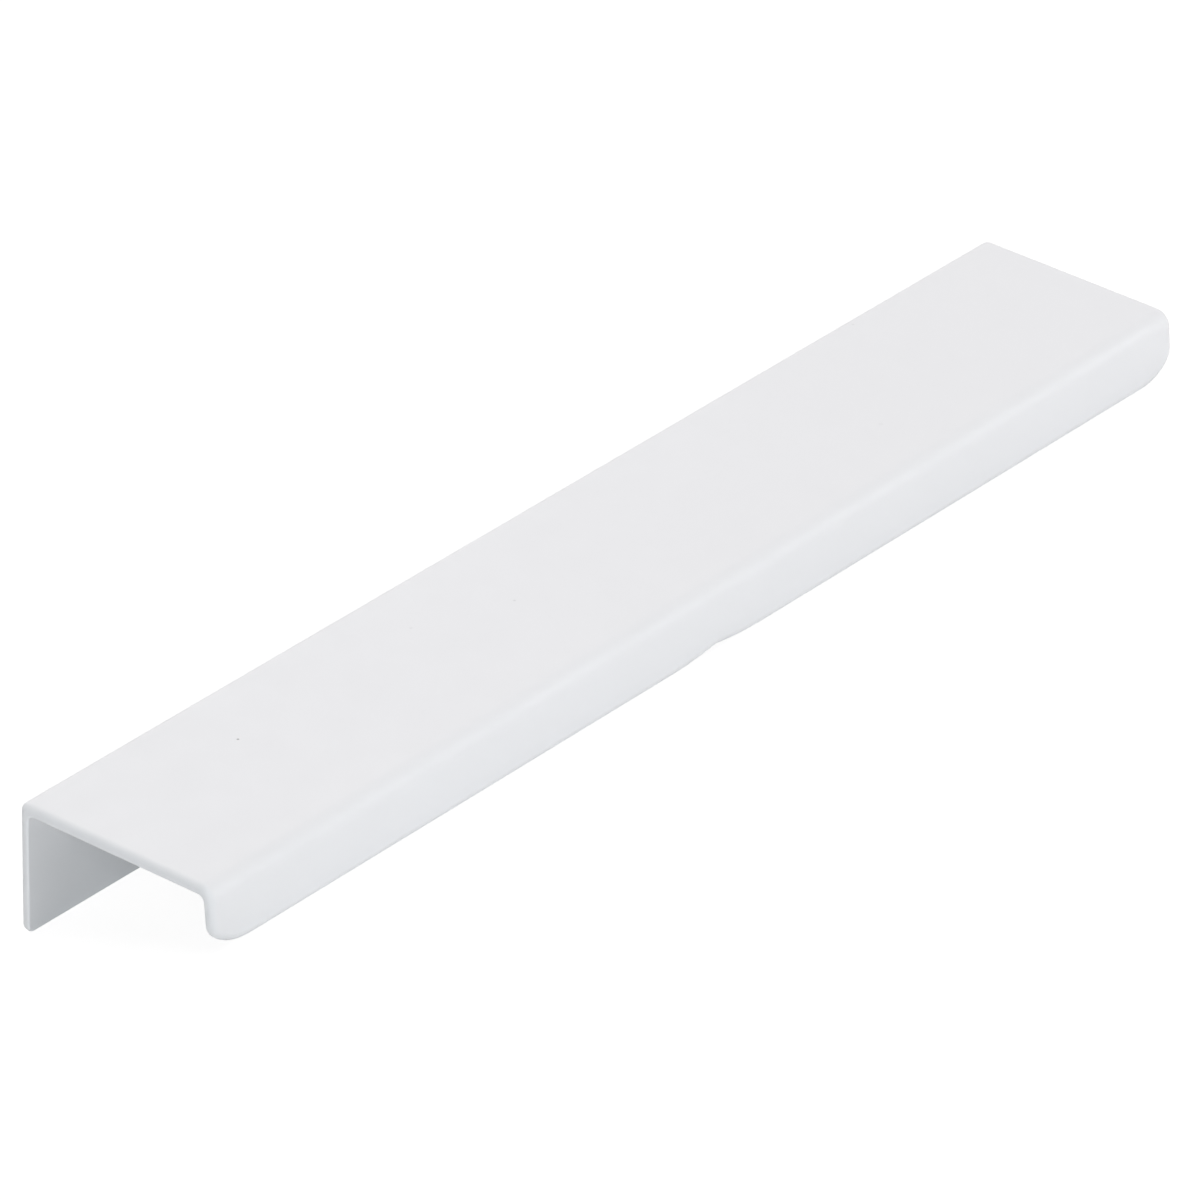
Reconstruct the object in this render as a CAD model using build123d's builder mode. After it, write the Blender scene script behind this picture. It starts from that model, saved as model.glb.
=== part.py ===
from build123d import *
from math import asin, atan2, cos, degrees, hypot, radians, sin
import os

# Lip pull: one length of extruded metal profile, a plate with a flange down its back and a lip down its
# front. The flange screws to the back of a door or drawer front, the plate lies over the front's edge, and
# fingers pull behind the lip.

# Profile, in millimetres
length = 200.0  # along the edge of the door
plate_depth = 32.4  # flange's outer face to lip's outer face, where the lip meets the plate's top
flange_height = 19.2  # plate's top face to flange's lower edge
lip_height = 9.4  # plate's top face to lip's lower edge, down the lip
lip_splay = 5.0  # degrees that the lip stands open from square
wall_thickness = 1.5
front_corner_radius = 2.4  # outside, where the lip meets the plate
back_corner_radius = 1.2  # outside, where the flange meets the plate
inside_corner_radius = 1.0

# Lower corners, and the edges all round
lip_corner_run = 7.0  # quarter ellipses, this far along the lip
lip_corner_rise = 4.0  # and this far up it
flange_corner_radius = 1.1
outer_edge_round = 1.0  # cut edges of the wall, on the outer skin
inner_edge_round = 0.3  # cut edges of the wall, on the inner skin

# Shallow nick at the middle of the lip's lower edge
nick_depth = 0.65
nick_radius = 4.0
nick_shoulder_radius = 58.0

# Countersunk screw holes in the flange
screw_spacing = 160.0
screw_drop = 11.0  # plate's top face to screw centres
screw_hole_radius = 2.0
screw_head_radius = 3.1
screw_head_angle = 90.0

# A depth of cut that clears the wall
through_wall = 2 * wall_thickness

# The profile is drawn from the corner where the plate's top and the flange's outer face meet. The lip runs
# down from the plate's front corner to its tip.
splay = radians(lip_splay)
lip_down = Vector(-sin(splay), -cos(splay))
lip_out = Vector(-cos(splay), sin(splay))
front_corner = Vector(-plate_depth, 0)
lip_tip = front_corner + lip_down * lip_height

# Centres of the rounds at the profile's lower edges and at its front corner
foot = Vector(inner_edge_round - wall_thickness, inner_edge_round - flange_height)
heel = Vector(-outer_edge_round, outer_edge_round - flange_height)
toe = lip_tip - (lip_down + lip_out) * outer_edge_round
nose = front_corner + Vector((1 - sin(splay)) / cos(splay), -1) * front_corner_radius

# Laid on a level floor, the pull rests on its foot and its toe, so its plate slopes down towards the lip.
# The slope is the one at which a level line touches both of those rounds.
run = foot.X - toe.X
rise = toe.Y - foot.Y
rest_slope = degrees(atan2(rise, run) + asin((inner_edge_round - outer_edge_round) / hypot(run, rise)))
slope = Plane.XY.rotated((rest_slope, 0, 0))

# The profile's corner is placed to bring the floor to zero height, and the middle of the pull, from the
# back of its heel to the front of its nose, over the origin.
tilted = Plane((0, 0, 0), x_dir=slope.y_dir, z_dir=slope.x_dir)
floor_level = tilted.from_local_coords(foot).Z - inner_edge_round
back = tilted.from_local_coords(heel).Y + outer_edge_round
front = tilted.from_local_coords(nose).Y - front_corner_radius
section = Plane((0, -(back + front) / 2, -floor_level), x_dir=slope.y_dir, z_dir=slope.x_dir)
hollow = section.from_local_coords((-plate_depth / 2, -lip_height / 2))  # a point under the plate

# Outer faces of the lip and the flange, seen from outside
lip_normal = section.from_local_coords(lip_out) - section.origin
lip_face = Plane(section.from_local_coords(lip_tip), x_dir=slope.x_dir, z_dir=lip_normal)
flange_face = Plane(section.from_local_coords((0, -screw_drop)), x_dir=-slope.x_dir, z_dir=slope.y_dir)
through_lip = Axis(lip_face.origin, lip_face.z_dir)
through_flange = Axis(flange_face.origin, flange_face.z_dir)


def rim_side(edge):
    """Positive on the rim of the outer skin, negative on the inner skin's, and zero where faces flow on."""
    spot = edge @ 0.5
    normals = [face.normal_at(spot) for face in lip_pull.faces() if edge in face.edges()]
    if abs(normals[0].dot(normals[1])) > 0.5:
        return 0
    return min(normal.dot(spot - hollow) for normal in normals)


with BuildPart() as lip_pull:
    # Profile: the outer skin, thickened inwards, with its corners rounded inside and out
    with BuildSketch(section) as profile:
        with BuildLine():
            Polyline((0, -flange_height), (0, 0), front_corner, lip_tip)
            offset(amount=wall_thickness, side=Side.LEFT)
        make_face()
        fillet(profile.vertices().group_by(Axis.Y)[-2], inside_corner_radius)
        fillet(profile.vertices().group_by(Axis.Y)[-1].sort_by(Axis.X)[0], front_corner_radius)
        fillet(profile.vertices().group_by(Axis.Y)[-1].sort_by(Axis.X)[-1], back_corner_radius)
    extrude(amount=length / 2, both=True)

    # Lower corners: quarter ellipses on the lip, small rounds on the flange
    with BuildSketch(lip_face):
        with Locations((0, lip_corner_rise / 2)):
            Rectangle(length, lip_corner_rise)
            Rectangle(length - 2 * lip_corner_run, lip_corner_rise, mode=Mode.SUBTRACT)
        with Locations((0, lip_corner_rise)):
            with GridLocations(length - 2 * lip_corner_run, 0, 2, 1):
                Ellipse(lip_corner_run, lip_corner_rise, mode=Mode.SUBTRACT)
    extrude(amount=-through_wall, mode=Mode.SUBTRACT)
    tips = lip_pull.edges().filter_by(through_flange).group_by(SortBy.LENGTH)[0]
    fillet(tips.group_by(through_flange)[-1], flange_corner_radius)

    # Nick in the lip's lower edge, blended into it
    with BuildSketch(lip_face):
        with Locations((0, nick_depth - nick_radius)):
            Circle(nick_radius)
    extrude(amount=-through_wall, mode=Mode.SUBTRACT)
    fillet(lip_pull.edges(Select.LAST).filter_by(through_lip), nick_shoulder_radius)

    # Rounded rim, all the way round: soft on the outer skin, and crisp on the inner one
    fillet(lip_pull.edges().filter_by(lambda edge: rim_side(edge) > 0), outer_edge_round)
    fillet(lip_pull.edges().filter_by(lambda edge: rim_side(edge) < 0), inner_edge_round)

    # Screw holes, countersunk from outside
    with Locations(flange_face):
        with GridLocations(screw_spacing, 0, 2, 1):
            CounterSinkHole(screw_hole_radius, screw_head_radius, through_wall, screw_head_angle)

lip_pull.part.label = "lip_pull"
os.makedirs("parts", exist_ok=True)
export_step(lip_pull.part, "parts/lip_pull.step")
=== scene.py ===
import bpy
from math import cos, radians, sin
from mathutils import Matrix, Vector


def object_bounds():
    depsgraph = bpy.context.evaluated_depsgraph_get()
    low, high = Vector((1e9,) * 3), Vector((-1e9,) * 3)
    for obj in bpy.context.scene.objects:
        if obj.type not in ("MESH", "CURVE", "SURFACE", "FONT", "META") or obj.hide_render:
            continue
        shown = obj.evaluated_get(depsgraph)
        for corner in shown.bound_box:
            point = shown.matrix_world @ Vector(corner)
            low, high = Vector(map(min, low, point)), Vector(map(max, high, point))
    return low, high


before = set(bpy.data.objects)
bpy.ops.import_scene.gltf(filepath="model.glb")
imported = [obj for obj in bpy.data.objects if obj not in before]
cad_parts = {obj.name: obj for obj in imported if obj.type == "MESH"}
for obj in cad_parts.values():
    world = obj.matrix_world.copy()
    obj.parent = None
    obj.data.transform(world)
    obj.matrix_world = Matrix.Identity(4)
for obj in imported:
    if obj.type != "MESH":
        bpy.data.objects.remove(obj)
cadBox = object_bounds()
scene = bpy.context.scene
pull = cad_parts["lip_pull"]
millimetre = 0.001
pullSides = [round(side / millimetre, 2) for side in cadBox[1] - cadBox[0]]
print("frame loaded, lip pull measures", pullSides, "mm")


# White paint, semi-matt, sprayed over the whole pull
whitePaint = {
    "colour": (0.83, 0.83, 0.846),  # the tone of most of the paint
    "thinColour": (0.824, 0.824, 0.839),  # where the coat lies a little thinner
    "drift": {"size": 40 * millimetre, "detail": 3, "spread": (0.35, 0.65)},  # between those two tones
    "roughness": (0.48, 0.58),
    "sheen": {"size": 4 * millimetre, "detail": 4, "spread": (0.3, 0.7)},  # between those two roughnesses
    "ripples": {"size": 1.1 * millimetre, "detail": 2, "height": 0.004 * millimetre},
    "grain": {"size": 0.16 * millimetre, "detail": 2, "height": 0.0012 * millimetre},
    "dustColour": (0.30, 0.30, 0.31),
    "dustCore": 0.3,  # share of a speck's radius that is at its darkest
    "dust": (  # specks in the plate's coat: place and radius in millimetres, and how dark
        ((-70.25, 2.20, 15.46), 0.26, 0.80),
        ((-20.05, -1.68, 14.24), 0.30, 0.20),
        ((-34.36, 3.66, 15.92), 0.35, 0.10),
        ((68.07, 10.89, 18.18), 0.30, 0.15),
        ((48.66, -8.34, 12.15), 0.50, 0.06),
    ),
}


def addNode(tree, kind, **inputs):
    node = tree.nodes.new(kind)
    for name, value in inputs.items():
        node.inputs[name].default_value = value
    return node


def remap(tree, value, fromRange, toRange):
    ramp = tree.nodes.new("ShaderNodeMapRange")
    ramp.interpolation_type = "SMOOTHSTEP"
    for name, number in zip(("From Min", "From Max", "To Min", "To Max"), (*fromRange, *toRange)):
        ramp.inputs[name].default_value = number
    tree.links.new(value, ramp.inputs["Value"])
    return ramp.outputs["Result"]


def noiseOf(tree, place, pattern):
    noise = addNode(tree, "ShaderNodeTexNoise", Scale=1 / pattern["size"], Detail=pattern["detail"])
    tree.links.new(place, noise.inputs["Vector"])
    return noise.outputs["Fac"]


def patchesOf(tree, place, pattern, toRange):
    return remap(tree, noiseOf(tree, place, pattern), pattern["spread"], toRange)


def mixColours(tree, share, first, second):
    mix = tree.nodes.new("ShaderNodeMix")
    mix.data_type = "RGBA"
    tree.links.new(share, mix.inputs["Factor"])
    for name, colour in (("A", first), ("B", second)):
        socket = next(s for s in mix.inputs if s.name == name and s.type == "RGBA")
        if isinstance(colour, bpy.types.NodeSocket):
            tree.links.new(colour, socket)
        else:
            socket.default_value = (*colour, 1)
    return next(s for s in mix.outputs if s.type == "RGBA")


def largest(tree, values):
    most = values[0]
    for value in values[1:]:
        pair = tree.nodes.new("ShaderNodeMath")
        pair.operation = "MAXIMUM"
        tree.links.new(most, pair.inputs[0])
        tree.links.new(value, pair.inputs[1])
        most = pair.outputs[0]
    return most


def speckAt(tree, place, core, spot, radius, share):
    gap = tree.nodes.new("ShaderNodeVectorMath")
    gap.operation = "DISTANCE"
    tree.links.new(place, gap.inputs[0])
    gap.inputs[1].default_value = Vector(spot) * millimetre
    fade = (core * radius * millimetre, radius * millimetre)
    return remap(tree, gap.outputs["Value"], fade, (share, 0))


def makeWhitePaint(look):
    material = bpy.data.materials.new("whitePaint")
    material.use_nodes = True
    tree = material.node_tree
    shader = tree.nodes["Principled BSDF"]
    place = tree.nodes.new("ShaderNodeTexCoord").outputs["Object"]

    # slow drift of tone, with the specks of dust
    drift = patchesOf(tree, place, look["drift"], (0, 1))
    coat = mixColours(tree, drift, look["colour"], look["thinColour"])
    dust = largest(tree, [speckAt(tree, place, look["dustCore"], *speck) for speck in look["dust"]])
    tree.links.new(mixColours(tree, dust, coat, look["dustColour"]), shader.inputs["Base Color"])

    # sheen that changes a little from place to place
    sheen = patchesOf(tree, place, look["sheen"], look["roughness"])
    tree.links.new(sheen, shader.inputs["Roughness"])

    # ripples of the sprayed coat, and its grain
    surface = None
    for texture in (look["ripples"], look["grain"]):
        bump = addNode(tree, "ShaderNodeBump", Strength=1, Distance=texture["height"])
        tree.links.new(noiseOf(tree, place, texture), bump.inputs["Height"])
        if surface:
            tree.links.new(surface, bump.inputs["Normal"])
        surface = bump.outputs["Normal"]
    tree.links.new(surface, shader.inputs["Normal"])
    return material


paintMaterial = makeWhitePaint(whitePaint)
for materialSlot in pull.material_slots:
    materialSlot.material = paintMaterial
print("lip pull painted")


# Floor: white to the eye, with the pull's soft shadow on it
whiteFloor = {
    "side": 8.0,
    "bounceColour": (0.9, 0.9, 0.9),  # for the light that it throws back at the pull
    "shadeColour": (0.16, 0.16, 0.16),  # how much of the shadow the eye sees
    "glow": 0.93,  # brings it up to white where the eye sees it
}


def seenDirectly(tree):
    path = tree.nodes.new("ShaderNodeLightPath")
    rays = ("Is Camera Ray", "Is Glossy Ray", "Is Transmission Ray")
    return largest(tree, [path.outputs[ray] for ray in rays])


def finishBySight(tree, unseen, seen, outputKind):
    choice = tree.nodes.new("ShaderNodeMixShader")
    tree.links.new(seenDirectly(tree), choice.inputs[0])
    tree.links.new(unseen.outputs[0], choice.inputs[1])
    tree.links.new(seen.outputs[0], choice.inputs[2])
    output = tree.nodes.new(outputKind)
    tree.links.new(choice.outputs[0], output.inputs["Surface"])


def makeFloor(look):
    half = look["side"] / 2
    corners = [(-half, -half, 0), (half, -half, 0), (half, half, 0), (-half, half, 0)]
    mesh = bpy.data.meshes.new("whiteFloor")
    mesh.from_pydata(corners, [], [(0, 1, 2, 3)])
    floor = bpy.data.objects.new("whiteFloor", mesh)
    scene.collection.objects.link(floor)
    material = bpy.data.materials.new("floorWhite")
    material.use_nodes = True
    tree = material.node_tree
    tree.nodes.clear()
    bounce = addNode(tree, "ShaderNodeBsdfDiffuse", Color=(*look["bounceColour"], 1))
    shade = addNode(tree, "ShaderNodeBsdfDiffuse", Color=(*look["shadeColour"], 1))
    glow = addNode(tree, "ShaderNodeEmission", Strength=look["glow"])
    sight = tree.nodes.new("ShaderNodeAddShader")
    tree.links.new(shade.outputs[0], sight.inputs[0])
    tree.links.new(glow.outputs[0], sight.inputs[1])
    finishBySight(tree, bounce, sight, "ShaderNodeOutputMaterial")
    mesh.materials.append(material)


makeFloor(whiteFloor)
print("floor laid")


# Light: a dim room that is white to the eye, with soft lamps above, left, right and behind
neutral = (1, 1, 1)
warmWhite = (1.012, 1.0, 1.0)
coolWhite = (0.93, 1.0, 1.025)
studio = {
    "roomColour": neutral,
    "roomLight": 0.10,
    "seenLight": 1,  # how bright the eye sees the room
    "lamps": {  # azimuth in degrees round from straight ahead, the rest in metres and watts
        "topLamp": {
            "azimuth": 20, "distance": 0.3, "height": 1.6,
            "size": (1.4, 1.4), "watts": 11.4, "colour": warmWhite,
        },
        "leftLamp": {
            "azimuth": -51, "distance": 1.6, "height": 0.2,
            "size": (1.4, 0.4), "watts": 11.2, "colour": coolWhite,
        },
        "rightLamp": {
            "azimuth": 45, "distance": 1.3, "height": 0.18,
            "size": (1.2, 0.36), "watts": 6.0, "colour": warmWhite,
        },
        "backLamp": {
            "azimuth": 155, "distance": 1.0, "height": 1.2,
            "size": (1.4, 1.4), "watts": 12.6, "colour": warmWhite,
        },
    },
}


def makeRoom(look):
    world = bpy.data.worlds.new("whiteRoom")
    scene.world = world
    world.use_nodes = True
    tree = world.node_tree
    tree.nodes.clear()
    colour = (*look["roomColour"], 1)
    light = addNode(tree, "ShaderNodeBackground", Color=colour, Strength=look["roomLight"])
    seen = addNode(tree, "ShaderNodeBackground", Color=colour, Strength=look["seenLight"])
    finishBySight(tree, light, seen, "ShaderNodeOutputWorld")


def makeLamp(name, setup):
    lamp = bpy.data.lights.new(name, "AREA")
    lamp.shape = "RECTANGLE"
    lamp.size, lamp.size_y = setup["size"]
    lamp.energy = setup["watts"]
    lamp.color = setup["colour"]
    holder = bpy.data.objects.new(name, lamp)
    scene.collection.objects.link(holder)
    azimuth = radians(setup["azimuth"])
    holder.location = (sin(azimuth) * setup["distance"], -cos(azimuth) * setup["distance"], setup["height"])
    holder.rotation_euler = holder.location.to_track_quat("Z", "Y").to_euler()  # faces the pull


makeRoom(studio)
for lampName, lampSetup in studio["lamps"].items():
    makeLamp(lampName, lampSetup)
print("studio lit")


# Camera at the photograph's viewing angle, rolled until the sloping plate looks level
viewpoint = {
    "aim": (-2.103 * millimetre, 0.804 * millimetre, 6.759 * millimetre),
    "azimuth": -45.079,  # degrees round from straight ahead
    "elevation": 18.578,
    "roll": 13.143,
    "distance": 1369.94 * millimetre,
    "lens": 310.41,
    "sensor": 36,
}


def makeCamera(view):
    azimuth, elevation, roll = (radians(view[name]) for name in ("azimuth", "elevation", "roll"))
    back = Vector((sin(azimuth) * cos(elevation), -cos(azimuth) * cos(elevation), sin(elevation)))
    level = Vector((cos(azimuth), sin(azimuth), 0))
    right = level * cos(roll) + level.cross(back) * sin(roll)
    up = back.cross(right)
    turn = Matrix((right, up, back)).transposed().to_4x4()
    camera = bpy.data.objects.new("photoCamera", bpy.data.cameras.new("photoCamera"))
    camera.data.lens = view["lens"]
    camera.data.sensor_width = view["sensor"]
    camera.matrix_world = Matrix.Translation(Vector(view["aim"]) + back * view["distance"]) @ turn
    scene.collection.objects.link(camera)
    scene.camera = camera


makeCamera(viewpoint)
scene.view_settings.view_transform = "Standard"
print("camera set")
